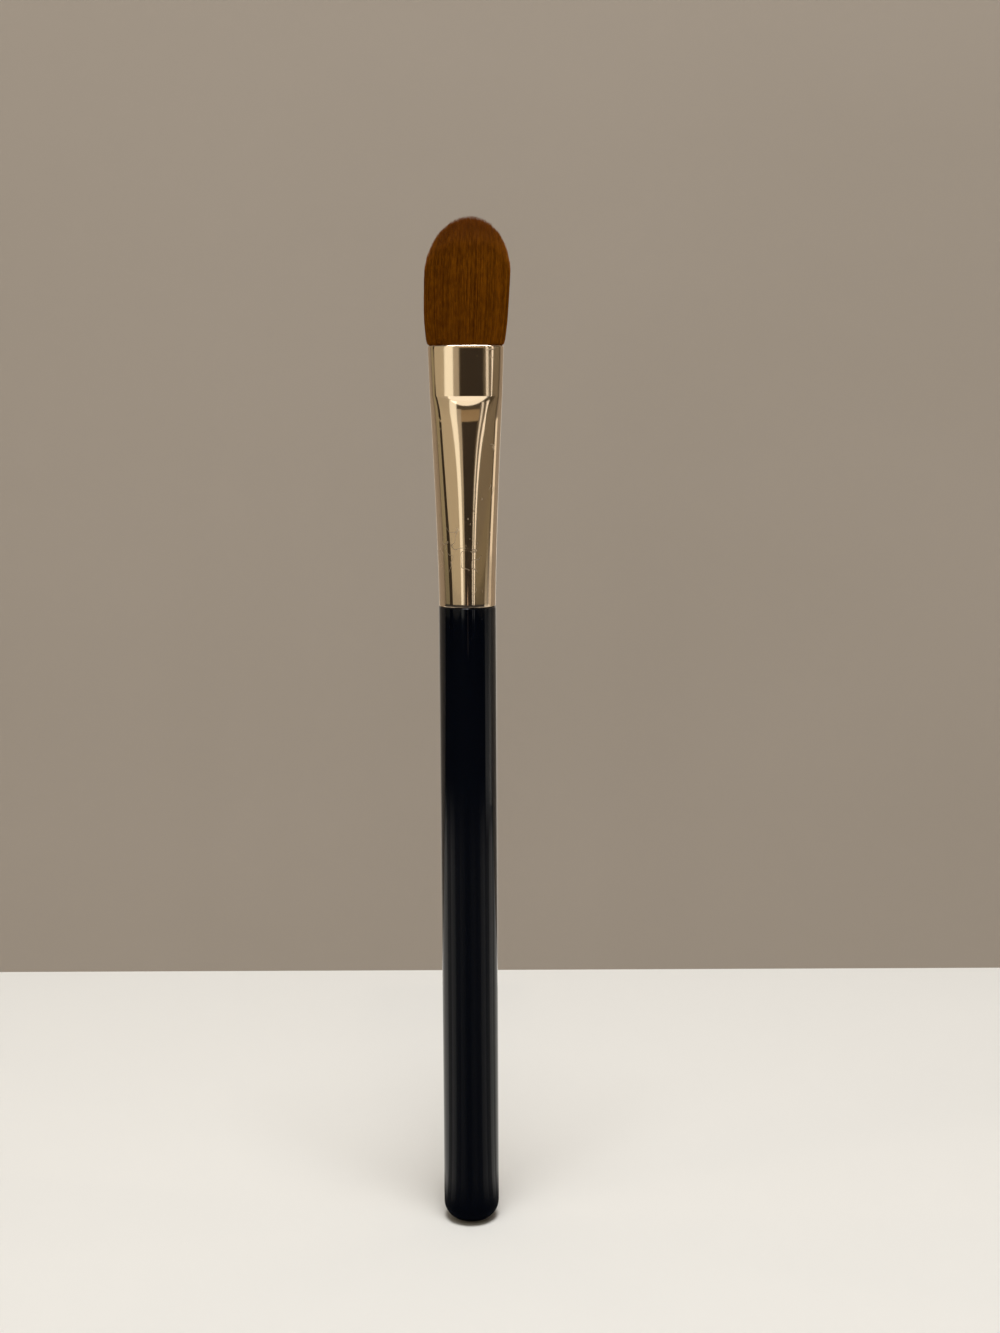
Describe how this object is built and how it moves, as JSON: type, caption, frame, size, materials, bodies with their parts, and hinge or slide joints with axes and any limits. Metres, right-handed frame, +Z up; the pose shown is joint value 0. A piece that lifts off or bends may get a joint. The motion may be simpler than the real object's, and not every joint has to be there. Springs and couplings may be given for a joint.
{
  "type": "eyeshadow brush",
  "caption": "Flat filbert make-up brush: brown hair tuft in a pressed gold tube ferrule on a straight round black lacquered handle with a domed butt.",
  "frame": {"origin": "centre of the handle's butt, at its lowest point", "axes": "+Z up the brush from the butt to the tip of the hair, X across the flat of the hair, -Y to the front face"},
  "size_m": [0.0128, 0.0086, 0.1537],
  "materials": {
    "black_lacquer": "gloss lacquer over turned wood",
    "gold_plate": "polished pale gold plating",
    "brown_hair": "fine natural hair, low sheen",
    "binding_thread": "undyed twisted thread",
    "clear_resin": "set amber resin",
    "wood_glue": "dried adhesive"
  },
  "bodies": {
    "root": {"handle": "black_lacquer", "ferrule": "gold_plate", "hair_tuft": "brown_hair", "root_thread": "binding_thread", "root_glue": "clear_resin", "tenon_glue": "wood_glue"}
  },
  "joints": []
}
